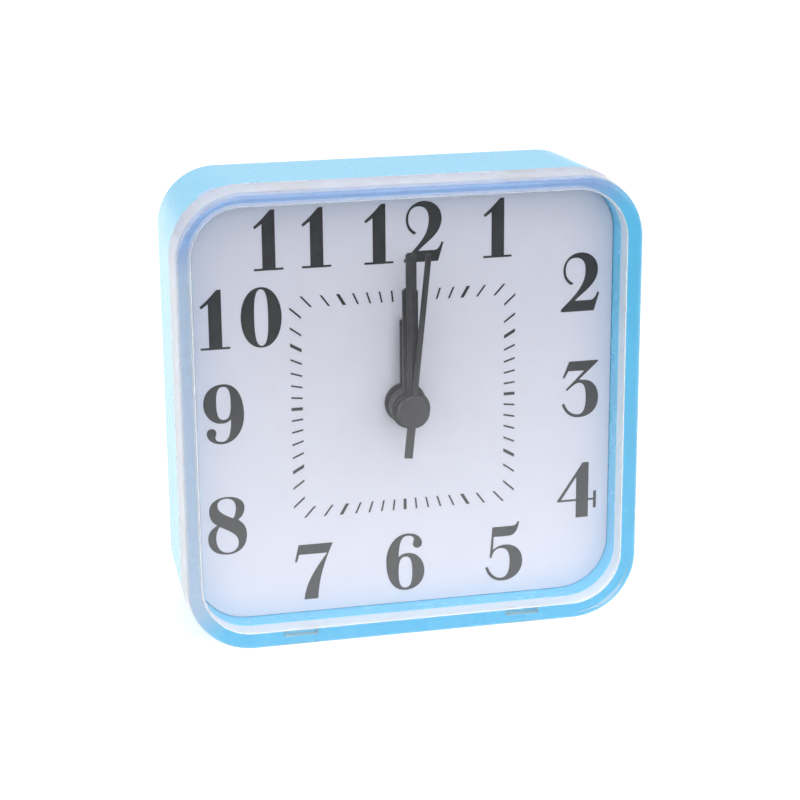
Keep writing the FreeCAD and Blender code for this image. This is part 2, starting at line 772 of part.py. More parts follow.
def numeral_wire(contour, place):
    """One closed line of a numeral, drawn at its place on the dial."""
    def at(x_share, z_share):
        return V(place[0] + x_share, y_dial - ink_thickness, place[1] + z_share)

    scaled = [tuple(numeral_em * share for share in item) for item in contour]
    start = at(*scaled[0])
    here = start
    edges = []
    for item in scaled[1:]:
        points = [at(*item[index:index + 2]) for index in range(0, len(item), 2)]
        if len(points) == 1:
            edges.append(Part.LineSegment(here, points[0]).toShape())
        else:
            curve = Part.BezierCurve()
            curve.setPoles([here] + points)
            edges.append(curve.toShape())
        here = points[-1]
    if here.distanceToPoint(start) > depth_tolerance:
        edges.append(Part.LineSegment(here, start).toShape())
    return Part.Wire(edges)


def numeral(name, place):
    if name == "9":
        width, height = [numeral_em * share for share in nine_turn_shares]
        turned = numeral("6", place)
        middle = V(place[0] + width / 2, y_dial, place[1] + height / 2)
        turned.rotate(middle, BACKWARD, half_turn)
        return turned
    solids = []
    for contour in numeral_outline_shares[name]:
        face = Part.Face(numeral_wire(contour, place))
        solids.append(face.extrude(V(0, ink_thickness, 0)))
    shape = solids[0]
    for counter in solids[1:]:
        shape = shape.cut(counter)
    return shape


def dial_numerals():
    shapes = []
    for name, x_share, z_share in numeral_place_shares:
        place = (x_share * numeral_reach, z_axis + z_share * numeral_reach)
        shapes += numeral(name, place).Solids
    return Part.makeCompound(shapes)


def minute_line(index):
    """A radial mark of the minute track, cut off at the track's two squares."""
    angle = 2 * math.pi * index / minute_count
    c = math.cos(angle)
    s = math.sin(angle)
    width = minute_mark if index % marks_per_hour else five_minute_mark
    corners = []
    for half, offsets in ((track_inner_half, (-1, 1)), (track_half, (1, -1))):
        for side in offsets:
            aside = side * width / 2
            if abs(c) > abs(s):
                along = (math.copysign(half, c) + aside * s) / c
            else:
                along = (math.copysign(half, s) - aside * c) / s
            corners.append((along * c - aside * s, z_axis + along * s + aside * c))
    return prism(corners, y_dial - ink_thickness, y_dial)


def minute_track():
    return Part.makeCompound([minute_line(index) for index in range(minute_count)])


def dial_plate():
    half = well_half - slip_gap
    plate = rounded_plate(half, z_axis - half, z_axis + half, well_corner_radius - slip_gap,
                          y_dial, y_dial_back)
    return bored(plate, dial_hole_radius, hand_axis)


# Hands

def blade(length, width, y_back_face, thickness, start=0):
    """A straight hand that points to twelve, with bevelled corners at its tip and a low ridge."""
    bevel = tip_share * width
    half = width / 2
    z0 = z_axis + start
    z1 = z_axis + length
    y_front_face = y_back_face - thickness
    outline = [(-half, z0), (-half, z1 - bevel), (bevel - half, z1), (half - bevel, z1),
               (half, z1 - bevel), (half, z0)]
    flat = prism(outline, y_front_face, y_back_face)
    section = [V(-half, y_front_face, z0), V(half, y_front_face, z0), V(0, y_front_face - hand_ridge, z0)]
    roof = Part.Face(Part.makePolygon(section + section[:1])).extrude(V(0, 0, z1 - bevel - z0))
    return fuse(flat, [roof])


def alarm_hand():
    y1 = y_dial - alarm_hand_height
    y0 = y1 - alarm_hand_thickness
    hub = disc(alarm_hub_radius, y0, y1, hand_axis)
    half = alarm_hand_width / 2
    point = [(-half, z_axis), (-half, z_axis + alarm_hand_length - half), (0, z_axis + alarm_hand_length),
             (half, z_axis + alarm_hand_length - half), (half, z_axis)]
    return bored(fuse(hub, [prism(point, y0, y1)]), alarm_tube_radius, hand_axis)


def hour_hand():
    y1 = y_dial - hour_hand_height
    hub = disc(hour_hub_radius, y1 - hour_hand_thickness, y1, hand_axis)
    collar = disc(hour_collar_radius, y1, y_dial - hour_collar_height, hand_axis)
    shape = fuse(hub, [collar, blade(hour_hand_length, hour_hand_width, y1, hour_hand_thickness)])
    return bored(shape, hour_tube_radius, hand_axis)


def minute_hand():
    y1 = y_dial - minute_hand_height
    hub = disc(minute_hub_radius, y1 - minute_hand_thickness, y1, hand_axis)
    shape = fuse(hub, [blade(minute_hand_length, minute_hand_width, y1, minute_hand_thickness)])
    return bored(shape, cannon_radius, hand_axis)


def second_hand():
    y1 = y_dial - second_hand_height
    y0 = y1 - second_hand_thickness
    pointer = blade(second_hand_length, second_hand_width, y1, second_hand_thickness)
    tail = block(-second_tail_width / 2, second_tail_width / 2, y0, y1, z_axis - second_tail_length, z_axis)
    y_top = y0 - second_hub_rise
    hub = disc(second_hub_radius, y_top, y1, hand_axis)
    hub = hub.makeChamfer(second_hub_edge, edges_at_depth(hub, y_top))
    shape = fuse(hub, [pointer, tail])
    shape = shape.cut(disc(second_arbor_radius, y0, y1 + overrun, hand_axis))
    shape.rotate(V(0, 0, z_axis), BACKWARD, second_hand_angle)
    return shape


# Wheels of the going train

def tube(outer, inner, y0, y1):
    return ring(outer, inner, y0, y1, hand_axis)


def second_wheel():
    discs = wheel(second_teeth, intermediate_module, second_layer, hand_axis, 0)
    small = pinion(pinion_teeth, second_module, bridge_layer, hand_axis, 0)
    return bored(fuse(discs, [small]), second_arbor_radius, hand_axis)


def second_arbor():
    y_tip = y_dial - second_hand_height - second_hand_thickness
    shaft = disc(second_arbor_radius, y_tip, y_box_inside - slip_gap, hand_axis)
    pivot = disc(pivot_radius, y_box_inside - slip_gap, y_box_inside + pivot_depth - slip_gap, hand_axis)
    return fuse(shaft, [pivot])


def intermediate_wheel():
    large = wheel(intermediate_teeth, rotor_module, rotor_layer, intermediate_axis, 0)
    small = pinion(pinion_teeth, intermediate_module, second_layer, intermediate_axis, intermediate_phase)
    shaft = disc(pivot_radius, y_bridge + slip_gap, y_box_inside + pivot_depth - slip_gap, intermediate_axis)
    return fuse(large, [small, shaft])


def rotor_pinion():
    small = pinion(rotor_teeth, rotor_module, rotor_layer, rotor_axis, rotor_phase, wheel_thickness)
    shaft = disc(pivot_radius, y_bridge + slip_gap, y_box_inside + pivot_depth - slip_gap, rotor_axis)
    return fuse(small, [shaft])


def rotor_magnet():
    return ring(magnet_radius, pivot_radius, y_stator, y_stator + magnet_length, rotor_axis)


def third_wheel():
    large = wheel(third_teeth, second_module, bridge_layer, third_axis, third_phase)
    depth = layer(bridge_layer) - layer(centre_layer)
    small = pinion(pinion_teeth, third_module, centre_layer, third_axis, 0, depth)
    y0 = y_plate_inside - pivot_depth + slip_gap
    y1 = y_box_inside + pivot_depth - slip_gap
    return fuse(large, [small, disc(pivot_radius, y0, y1, third_axis)])


def centre_wheel():
    bore = cannon_radius + running_fit
    disc_part = wheel(centre_teeth, third_module, centre_layer, hand_axis, centre_phase)
    y0 = layer(motion_layer) + wheel_thickness + slip_gap
    y1 = y_bridge - slip_gap
    return bored(fuse(disc_part, [disc(bore + bush_wall, y0, y1, hand_axis)]), bore, hand_axis)


# Motion work and alarm work

def minute_cannon():
    y0 = y_dial - minute_hand_height - minute_hand_thickness
    pipe = disc(cannon_radius, y0, y_bridge - slip_gap, hand_axis)
    small = wheel(cannon_teeth, motion_module, motion_layer, hand_axis, 0)
    return bored(fuse(pipe, [small]), cannon_bore, hand_axis)


def minute_idler():
    large = wheel(motion_teeth, motion_module, motion_layer, motion_axis, motion_phase)
    small = pinion(motion_pinion_teeth, hour_module, hour_layer, motion_axis, 0)
    return bored(fuse(large, [small]), stub_radius + running_fit, motion_axis)


def hour_wheel():
    large = wheel(hour_teeth, hour_module, hour_layer, hand_axis, hour_phase)
    y0 = y_dial - hour_hand_height - hour_hand_thickness
    pipe = disc(hour_tube_radius, y0, layer(motion_layer) - free_gap, hand_axis)
    return bored(fuse(large, [pipe]), hour_bore, hand_axis)


def alarm_wheel():
    large = wheel(alarm_teeth, alarm_module, alarm_layer, hand_axis, 0)
    y0 = y_dial - alarm_hand_height - alarm_hand_thickness
    pipe = disc(alarm_tube_radius, y0, layer(hour_layer) - free_gap, hand_axis)
    return bored(fuse(large, [pipe]), alarm_bore, hand_axis)


def alarm_idler():
    large = wheel(alarm_idler_teeth, alarm_module, alarm_layer, alarm_idler_axis, alarm_idler_phase)
    return bored(large, stub_radius + running_fit, alarm_idler_axis)


def spindle(module, index, centre, phase):
    """Setting spindle with its pinion in a layer, from the front plate into its knob."""
    small = wheel(setting_teeth, module, index, centre, phase)
    y_end = y_back + knob_proud - knob_height + knob_socket
    shaft = disc(spindle_radius, y_plate_inside + slip_gap, y_end, centre)
    pivot = disc(pivot_radius, y_plate_inside - pivot_depth + slip_gap, y_plate_inside + slip_gap, centre)
    return fuse(small, [shaft, pivot])


def knob(centre):
    y1 = y_back + knob_proud
    y0 = y1 - knob_height
    shape = disc(knob_radius, y0, y1, centre)
    shape = shape.makeChamfer(knob_edge, edges_at_depth(shape, y1))
    cuts = [disc(knob_dish_radius, y1 - knob_dish_depth, y1 + overrun, centre),
            disc(spindle_radius, y0 - overrun, y0 + knob_socket, centre)]
    for index in range(knob_flutes):
        rim = polar(centre, knob_radius, full_turn * index / knob_flutes)
        cuts.append(disc(knob_flute_radius, y0 - overrun, y1 + overrun, rim))
    return shape.cut(Part.makeCompound(cuts))


# Movement box

def movement_front_plate():
    outline = rounded_plate(movement_width / 2, movement_low, movement_high, movement_corner_radius,
                            y_dial_back, y_plate_inside)
    additions = [disc(plate_bush_radius, y_dial, y_plate_inside, hand_axis)]
    for z in (z_axis - boss_drop, z_axis + boss_rise):
        additions.append(block(-ear_half, ear_half, y_dial_back, y_plate_inside,
                               z - ear_height / 2, z + ear_height / 2))
    for place in movement_screw_places:
        additions.append(disc(pillar_radius, y_dial_back, y_box_inside, place))
    for place in bridge_screw_places:
        additions.append(disc(pillar_radius, y_dial_back, y_bridge, place))
    y_stub = layer(motion_layer) + wheel_thickness + slip_gap
    additions.append(disc(stub_radius, y_dial_back, y_stub, motion_axis))
    additions.append(disc(post_shoulder_radius, y_dial_back, layer(hour_layer) - slip_gap, motion_axis))
    y_stub = layer(alarm_layer) + wheel_thickness + slip_gap
    additions.append(disc(stub_radius, y_dial_back, y_stub, alarm_idler_axis))
    y_shoulder = layer(alarm_layer) - slip_gap
    additions.append(disc(post_shoulder_radius, y_dial_back, y_shoulder, alarm_idler_axis))
    shape = fuse(outline, additions)
    cuts = [disc(plate_bore, y_dial - overrun, y_plate_inside + overrun, hand_axis)]
    cuts += [pivot_hole(y_plate_inside, -1, place) for place in (third_axis, setting_axis, alarm_axis)]
    for place in case_screw_places:
        seat = y_dial_back + case_screw_head_height + head_gap
        cuts.append(disc(case_screw_head + slip_gap, y_dial_back - overrun, seat, place))
        cuts.append(disc(case_screw_radius + slip_gap, y_dial_back, y_plate_inside + overrun, place))
    for place in movement_screw_places:
        cuts.append(disc(small_screw_radius, y_box_outside - movement_screw_length - overrun,
                         y_box_inside + overrun, place))
    for place in bridge_screw_places:
        cuts.append(disc(small_screw_radius, y_bridge_back - bridge_screw_length - overrun,
                         y_bridge + overrun, place))
    return shape.cut(Part.makeCompound(cuts))


def movement_bridge():
    plate = rounded_plate(bridge_half, z_axis - bridge_drop, z_axis + bridge_rise, bridge_corner_radius,
                          y_bridge, y_bridge_back)
    third_clear = third_module * pinion_teeth / 2 + third_module * addendum_share + free_gap
    holes = [(second_arbor_radius + running_fit, hand_axis), (pivot_radius + running_fit, intermediate_axis),
             (pivot_radius + running_fit, rotor_axis), (third_clear, third_axis),
             (spindle_radius + free_gap, setting_axis), (spindle_radius + free_gap, alarm_axis)]
    holes += [(small_screw_radius, place) for place in bridge_screw_places]
    cuts = [disc(radius, y_bridge - overrun, y_bridge_back + overrun, place) for radius, place in holes]
    return plate.cut(Part.makeCompound(cuts))


def movement_rear_housing():
    outside = rounded_plate(movement_width / 2, movement_low, movement_high, movement_corner_radius,
                            y_plate_inside, y_box_outside)
    inside = rounded_plate(movement_width / 2 - movement_wall, movement_low + movement_wall,
                           movement_high - movement_wall, movement_corner_radius - movement_wall,
                           y_plate_inside - overrun, y_box_inside)
    shape = outside.cut(inside)
    posts = [disc(board_post_radius, y_board + board_thickness, y_box_outside, place)
             for place in board_post_places]
    posts += [disc(stator_post_radius, y_stator + stator_thickness, y_box_outside, place)
              for place in stator_post_places]
    shape = fuse(shape, posts)
    cuts = [pivot_hole(y_box_inside, 1, place)
            for place in (hand_axis, third_axis, intermediate_axis, rotor_axis)]
    y0 = y_box_inside - overrun
    y1 = y_box_outside + overrun
    for place in (setting_axis, alarm_axis):
        cuts.append(disc(spindle_radius + running_fit, y0, y1, place))
    for place in (disc_pin_place, ceramic_pin_place):
        cuts.append(disc(buzzer_pin_radius + slip_gap, y0, y1, place))
    for place in movement_screw_places:
        seat = y_box_outside - small_screw_head_height - head_gap
        cuts.append(disc(small_screw_head + slip_gap, seat, y1, place))
        cuts.append(disc(small_screw_radius + slip_gap, y0, y_box_outside, place))
    for x in (positive_wire_x, negative_wire_x):
        cuts.append(Part.makeCylinder(wire_radius + slip_gap, movement_wall + 2 * overrun,
                                      V(x, wire_y, movement_low - overrun), UP))
    half_slot = switch_travel / 2 + switch_peg_radius + free_gap
    half_high = switch_peg_radius + free_gap
    cuts.append(block(-half_slot, half_slot, y0, y1, switch_z - half_high, switch_z + half_high))
    return shape.cut(Part.makeCompound(cuts))


def screw(place, y_seat, toward, radius, head_radius, head_height, length):
    """Slotted screw whose head rests on y_seat: toward is 1 when its shank runs backward."""
    y_head = y_seat - toward * head_height
    y_tip = y_head + toward * length
    head = disc(head_radius, min(y_seat, y_head), max(y_seat, y_head), place)
    shank = disc(radius, min(y_seat, y_tip), max(y_seat, y_tip), place)
    y0, y1 = sorted((y_head - toward * overrun, y_head + toward * screw_slot_depth))
    slot = block(place[0] - head_radius - overrun, place[0] + head_radius + overrun, y0, y1,
                 place[1] - screw_slot_width / 2, place[1] + screw_slot_width / 2)
    return fuse(head, [shank]).cut(slot)


def case_screws():
    seat = y_dial_back + case_screw_head_height + head_gap
    screws = [screw(place, seat, 1, case_screw_radius, case_screw_head, case_screw_head_height,
                    case_screw_length) for place in case_screw_places]
    return Part.makeCompound(screws)


def small_screws(places, seat, length):
    """Screws of the movement, with their shanks to the front."""
    screws = [screw(place, seat, -1, small_screw_radius, small_screw_head, small_screw_head_height, length)
              for place in places]
    return Part.makeCompound(screws)


def movement_screws():
    seat = y_box_outside - small_screw_head_height - head_gap
    return small_screws(movement_screw_places, seat, movement_screw_length)


def bridge_screws():
    return small_screws(bridge_screw_places, y_bridge_back, bridge_screw_length)


# Stepping motor

rotor_x, rotor_z = rotor_axis
stator_low = rotor_z - pole_side / 2
pole_right = rotor_x + pole_side / 2
coil_low = stator_low + stator_limb
coil_high = stator_high - stator_limb
core_y = y_stator - stator_thickness / 2


def stator_plate():
    y0 = y_stator
    y1 = y_stator + stator_thickness
    pole = block(rotor_x - pole_side / 2, pole_right, y0, y1, stator_low, rotor_z + pole_side / 2)
    upright_left = pole_right - stator_upright
    limbs = [block(upright_left, pole_right, y0, y1, rotor_z, stator_high),
             block(rotor_x, stator_right, y0, y1, stator_low, stator_low + stator_limb),
             block(upright_left, stator_right, y0, y1, stator_high - stator_limb, stator_high)]
    return bored(fuse(pole, limbs), magnet_radius + magnet_gap, rotor_axis)


def coil_core():
    return block(coil_x - core_width / 2, coil_x + core_width / 2, y_stator - stator_thickness, y_stator,
                 stator_low, stator_high)


def upright_disc(radius, z0, z1):
    return Part.makeCylinder(radius, z1 - z0, V(coil_x, core_y, z0), UP)


def coil_bobbin():
    flanges = [upright_disc(flange_radius, coil_low + slip_gap, coil_low + slip_gap + bobbin_flange),
               upright_disc(flange_radius, coil_high - slip_gap - bobbin_flange, coil_high - slip_gap)]
    pipe = upright_disc(bobbin_radius, coil_low + slip_gap, coil_high - slip_gap)
    return fuse(pipe, flanges).cut(coil_core())


def coil_winding():
    z0 = coil_low + slip_gap + bobbin_flange
    z1 = coil_high - slip_gap - bobbin_flange
    return upright_disc(coil_radius, z0, z1).cut(upright_disc(bobbin_radius, z0, z1))


# Electronics and sounder

def circuit_board():
    return block(board_left, board_right, y_board, y_board + board_thickness, board_low, board_high)


def timer_chip():
    half = chip_side / 2
    return block(chip_place[0] - half, chip_place[0] + half, y_board - chip_height, y_board,
                 chip_place[1] - half, chip_place[1] + half)


def quartz_crystal():
    y_centre = y_board - crystal_radius - crystal_gap
    foot = V(crystal_place[0], y_centre, crystal_place[1])
    return Part.makeCylinder(crystal_radius, crystal_length, foot, UP)


def wire(side, x_end):
    """Insulated wire from a battery contact's tab along the bay and up to the circuit board."""
    turn = math.copysign(wire_bend, x_end - side * contact_inside)
    start = V(side * contact_inside, wire_y, wire_height)
    corner = V(x_end - turn, wire_y, wire_height)
    bend_share = 1 - math.sqrt(1 / 2)
    middle = V(x_end - turn * bend_share, wire_y, wire_height + wire_bend * bend_share)
    up = V(x_end, wire_y, wire_height + wire_bend)
    end = V(x_end, wire_y, board_low + wire_landing)
    path = Part.Wire([Part.LineSegment(start, corner).toShape(), Part.Arc(corner, middle, up).toShape(),
                      Part.LineSegment(up, end).toShape()])
    section = Part.Wire(Part.makeCircle(wire_radius, start, V(turn, 0, 0)))
    return path.makePipeShell([section], True, False)


def buzzer_disc():
    y1 = y_rear_inside - buzzer_ring_height
    return disc(buzzer_radius, y1 - buzzer_thickness, y1, (0, buzzer_z))


def buzzer_ceramic():
    y1 = y_rear_inside - buzzer_ring_height - buzzer_thickness
    return disc(ceramic_radius, y1 - ceramic_thickness, y1, (0, buzzer_z))


def buzzer_pins():
    y0 = y_board + board_thickness
    y_disc = y_rear_inside - buzzer_ring_height - buzzer_thickness
    return Part.makeCompound([disc(buzzer_pin_radius, y0, y_disc, disc_pin_place),
                              disc(buzzer_pin_radius, y0, y_disc - ceramic_thickness, ceramic_pin_place)])


def alarm_contact_leaf():
    """Flat spring from the board up to the height of the switch's peg, then across to it."""
    half = leaf_width / 2
    x_tip = -switch_travel / 2 - switch_peg_radius - free_gap
    outline = [(leaf_x - half, board_high - leaf_foot), (leaf_x + half, board_high - leaf_foot),
               (leaf_x + half, switch_z - half), (x_tip, switch_z - half), (x_tip, switch_z + half),
               (leaf_x - half, switch_z + half)]
    return prism(outline, y_board - leaf_thickness, y_board)


def alarm_switch():
    """Slide button at its left end, with a flange inside the wall and a peg into the movement."""
    x = -switch_travel / 2
    half = switch_button_width / 2
    half_high = switch_button_height / 2
    y_top = y_back + switch_proud
    y1 = y_rear_inside - slip_gap
    button = block(x - half, x + half, y1, y_top, switch_z - half_high, switch_z + half_high)
    reach = half + switch_flange
    rise = half_high + switch_flange
    flange = block(x - reach, x + reach, y_box_outside + slip_gap, y1, switch_z - rise, switch_z + rise)
    peg = disc(switch_peg_radius, y_board - leaf_thickness - switch_peg_end, y1, (x, switch_z))
    ribs = []
    for index in range(switch_rib_count):
        middle = x + (index - (switch_rib_count - 1) / 2) * switch_rib_step
        ribs.append(block(middle - switch_rib / 2, middle + switch_rib / 2, y_top - switch_rib,
                          y_top + overrun, switch_z - half_high, switch_z + half_high))
    return fuse(button, [flange, peg]).cut(Part.makeCompound(ribs))


# Battery and contacts

def along_x(radius, x0, x1):
    return Part.makeCylinder(radius, x1 - x0, V(x0, battery_y, battery_z), ACROSS)


def battery_cell():
    half = battery_length / 2
    can = along_x(battery_radius, nub_length - half, half)
    x0 = nub_length - half + battery_crimp
    x1 = x0 + battery_crimp
    crimp = along_x(battery_radius + overrun, x0, x1)
    crimp = crimp.cut(along_x(battery_radius - battery_crimp_depth, x0, x1))
    return fuse(can.cut(crimp), [along_x(nub_radius, -half, nub_length - half)])


def battery_contact(side):
    """Bent strip with a bow that presses on the battery and a tab up through the bay's ceiling."""
    half = contact_width / 2
    x0, x1 = sorted((side * contact_inside, side * contact_outside))
    plate = block(x0, x1, battery_y - half, battery_y + half, contact_low, bay_ceiling - slip_gap)
    tab = block(x0, x1, wire_y - contact_tab_width / 2, wire_y + contact_tab_width / 2,
                bay_ceiling - slip_gap, wire_height + wire_radius + contact_tab_rise)
    sag = contact_inside - battery_length / 2
    bow_radius = ((contact_bow_height / 2) ** 2 + sag ** 2) / (2 * sag)
    bow_x = side * (battery_length / 2 + bow_radius)
    start = V(bow_x, battery_y - contact_bow_width / 2, battery_z)
    bow = Part.makeCylinder(bow_radius, contact_bow_width, start, BACKWARD)
    bow = bow.cut(Part.makeCylinder(bow_radius - contact_thickness, contact_bow_width, start, BACKWARD))
    near, far = sorted((side * battery_length / 2, side * contact_inside))
    keep = block(near, far, battery_y - half, battery_y + half,
                 battery_z - bow_radius, battery_z + bow_radius)
    return fuse(plate, [tab, bow.common(keep)])


nodes = {
    "case_shell": case_shell(),
    "front_cover": front_cover(),
    "dial_plate": dial_plate(),
    "dial_numerals": dial_numerals(),
    "minute_track": minute_track(),
    "alarm_hand": alarm_hand(),
    "hour_hand": hour_hand(),
    "minute_hand": minute_hand(),
    "second_hand": second_hand(),
    "second_wheel": second_wheel(),
    "second_arbor": second_arbor(),
    "intermediate_wheel": intermediate_wheel(),
    "rotor_pinion": rotor_pinion(),
    "rotor_magnet": rotor_magnet(),
    "third_wheel": third_wheel(),
    "centre_wheel": centre_wheel(),
    "minute_cannon": minute_cannon(),
    "minute_idler": minute_idler(),
    "hour_wheel": hour_wheel(),
    "alarm_wheel": alarm_wheel(),
    "alarm_idler": alarm_idler(),
    "time_set_spindle": spindle(motion_module, motion_layer, setting_axis, setting_phase),
    "time_set_knob": knob(setting_axis),
    "alarm_set_spindle": spindle(alarm_module, alarm_layer, alarm_axis, alarm_phase),
    "alarm_set_knob": knob(alarm_axis),
    "movement_front_plate": movement_front_plate(),
    "movement_bridge": movement_bridge(),
    "movement_rear_housing": movement_rear_housing(),
    "case_screws": case_screws(),
    "movement_screws": movement_screws(),
    "bridge_screws": bridge_screws(),
    "stator_plate": stator_plate(),
    "coil_core": coil_core(),
    "coil_bobbin": coil_bobbin(),
    "coil_winding": coil_winding(),
    "circuit_board": circuit_board(),
    "timer_chip": timer_chip(),
    "quartz_crystal": quartz_crystal(),
    "positive_wire": wire(-1, positive_wire_x),
    "negative_wire": wire(1, negative_wire_x),
    "buzzer_disc": buzzer_disc(),
    "buzzer_ceramic": buzzer_ceramic(),
    "buzzer_pins": buzzer_pins(),
    "alarm_contact_leaf": alarm_contact_leaf(),
    "alarm_switch": alarm_switch(),
    "battery_cell": battery_cell(),
    "positive_contact": battery_contact(-1),
    "negative_contact": battery_contact(1),
    "battery_door": battery_door(),
}

os.makedirs("parts", exist_ok=True)
for name, shape in nodes.items():
    shape.exportStep(f"parts/{name}.step")
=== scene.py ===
import json

import bpy
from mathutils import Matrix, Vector

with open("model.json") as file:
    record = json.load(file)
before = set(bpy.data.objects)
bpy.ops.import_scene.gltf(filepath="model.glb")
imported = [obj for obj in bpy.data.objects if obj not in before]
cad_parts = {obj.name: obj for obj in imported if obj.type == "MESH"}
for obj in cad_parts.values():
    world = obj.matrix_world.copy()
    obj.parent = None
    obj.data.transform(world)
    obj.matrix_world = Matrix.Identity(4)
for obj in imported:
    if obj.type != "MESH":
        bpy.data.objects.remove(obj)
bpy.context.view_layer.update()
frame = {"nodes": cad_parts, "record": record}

nodes = frame["nodes"]
scene = bpy.context.scene

# Places on the case, in metres
clip_pocket_inset = 0.0013     # outside of the case to the middle of a clip's pocket
clip_pocket_half = 0.0007
clip_pocket_depth = 0.0019
rim_tolerance = 0.0002
case_corners = [nodes["case_shell"].matrix_world @ Vector(corner) for corner in nodes["case_shell"].bound_box]
rim_depth = min(corner.y for corner in case_corners)
mid_height = max(corner.z for corner in case_corners) / 2
pocket_offset = mid_height - clip_pocket_inset

# Painted light on the rim and clip pockets under the cover: glow colours by side, in place of the light that the
# cover's wall gathers, and where one side's glow gives way to the next
painted_rim_glow_left = (0.30, 0.09, 0.0)
painted_rim_glow_top = (0.15, 0.0, 0.0)
painted_rim_glow_lower_right = (0.035, 0.085, 0.07)
left_to_top_start = 0.022
left_to_top_end = 0.032
diagonal_half = 0.006

# Light in the blue plastic, on the faces that look inward
subsurface_weight = 0.1
outward_start = 0.001
outward_end = 0.006

# Milkiness of the clear plastic on its sides, by how far a face looks sideways and outward
facing_forward = 0.8
facing_sideways = 0.2
milky_half = 0.005
milky_inside = 0.62
milky_outside = 0.36

# Floor: its paint, its glow for the camera, and a painted reflection, a glow that only reflections see, by place
floor_size = 8.0
floor_scale = 3.0
floor_dark = (0.64, 0.64, 0.64)
floor_light = (0.66, 0.66, 0.66)
floor_glow = 0.65
painted_reflection_far = -0.26
painted_reflection_near = -0.02
painted_reflection_low = 0.10
painted_reflection_high = 1.5
behind_depth = 0.03
left_start = -0.03
left_end = -0.05
painted_reflection_behind_left_gain = 0.06

# Lamps and world
aim_height = 0.04
lit_sky = 0.55
seen_sky = 1.0

# Camera, from the perspective of the photo
camera_sensor = 36.0
camera_lens = 95.35
camera_place = (-0.0747863, -0.3302777, 0.1380674)
camera_turn = (1.2782879, 0.0074687, -0.2276491)
camera_near = 0.01
camera_far = 20.0


# Material building blocks

def new_material(name):
    """An empty node material with its output; returns the material, its tree and the output."""
    material = bpy.data.materials.new(name)
    material.use_nodes = True
    tree = material.node_tree
    tree.nodes.clear()
    return material, tree, tree.nodes.new("ShaderNodeOutputMaterial")


def object_noise(tree, scale, detail=2.0):
    """Noise in the object's own coordinates, with its scale in features per metre."""
    place = tree.nodes.new("ShaderNodeTexCoord")
    noise = tree.nodes.new("ShaderNodeTexNoise")
    noise.inputs["Scale"].default_value = scale
    noise.inputs["Detail"].default_value = detail
    tree.links.new(place.outputs["Object"], noise.inputs["Vector"])
    return noise.outputs["Fac"]


def mapped(tree, value, low, high):
    """Noise, which stays mostly between 0.3 and 0.7, spread from low to high."""
    ramp = tree.nodes.new("ShaderNodeMapRange")
    for socket, number in (("From Min", 0.3), ("From Max", 0.7), ("To Min", low), ("To Max", high)):
        ramp.inputs[socket].default_value = number
    tree.links.new(value, ramp.inputs["Value"])
    return ramp.outputs["Result"]


def ramped(tree, value, start, end, low=0.0, high=1.0):
    """Smooth change from low to high while a value goes from start to end."""
    ramp = tree.nodes.new("ShaderNodeMapRange")
    ramp.interpolation_type = "SMOOTHSTEP"
    for socket, number in (("From Min", start), ("From Max", end), ("To Min", low), ("To Max", high)):
        ramp.inputs[socket].default_value = number
    tree.links.new(value, ramp.inputs["Value"])
    return ramp.outputs["Result"]


def blended(tree, value, first, second):
    """Colour between two, each given as numbers or as another node's output."""
    mix = tree.nodes.new("ShaderNodeMix")
    mix.data_type = "RGBA"
    for socket, colour in (("A", first), ("B", second)):
        if isinstance(colour, tuple):
            mix.inputs[socket].default_value = (*colour, 1)
        else:
            tree.links.new(colour, mix.inputs[socket])
    tree.links.new(value, mix.inputs["Factor"])
    return mix.outputs["Result"]


def calculated(tree, operation, first, second=None, third=None):
    """Result of a Math node whose inputs are numbers or other nodes' outputs."""
    node = tree.nodes.new("ShaderNodeMath")
    node.operation = operation
    for socket, value in zip(node.inputs, (first, second, third)):
        if isinstance(value, (int, float)):
            socket.default_value = value
        elif value is not None:
            tree.links.new(value, socket)
    return node.outputs["Value"]


def separated(tree, vector):
    """X, Y and Z of a vector."""
    apart = tree.nodes.new("ShaderNodeSeparateXYZ")
    tree.links.new(vector, apart.inputs["Vector"])
    return apart.outputs["X"], apart.outputs["Y"], apart.outputs["Z"]


def object_axes(tree):
    """X, Y and Z of the shaded point in metres."""
    return separated(tree, tree.nodes.new("ShaderNodeTexCoord").outputs["Object"])


def face_normal(tree):
    """X, Y and Z of the face's own normal."""
    return separated(tree, tree.nodes.new("ShaderNodeNewGeometry").outputs["True Normal"])


def looking_outward(tree, x, z, normal_x, normal_z):
    """Positive on the outer faces and negative on the inner ones, in metres from the middle."""
    across = calculated(tree, "MULTIPLY", x, normal_x)
    up = calculated(tree, "MULTIPLY", calculated(tree, "SUBTRACT", z, mid_height), normal_z)
    return calculated(tree, "ADD", across, up)


def mixed_shader(tree, share, first, second):
    mix = tree.nodes.new("ShaderNodeMixShader")
    tree.links.new(share, mix.inputs["Fac"])
    tree.links.new(first, mix.inputs[1])
    tree.links.new(second, mix.inputs[2])
    return mix.outputs["Shader"]


def uneven(tree, shader, fine, detail, strength, depth):
    """Low relief on a shader, from noise."""
    height = tree.nodes.new("ShaderNodeBump")
    height.inputs["Strength"].default_value = strength
    height.inputs["Distance"].default_value = depth
    tree.links.new(object_noise(tree, fine, detail), height.inputs["Height"])
    tree.links.new(height.outputs["Normal"], shader.inputs["Normal"])


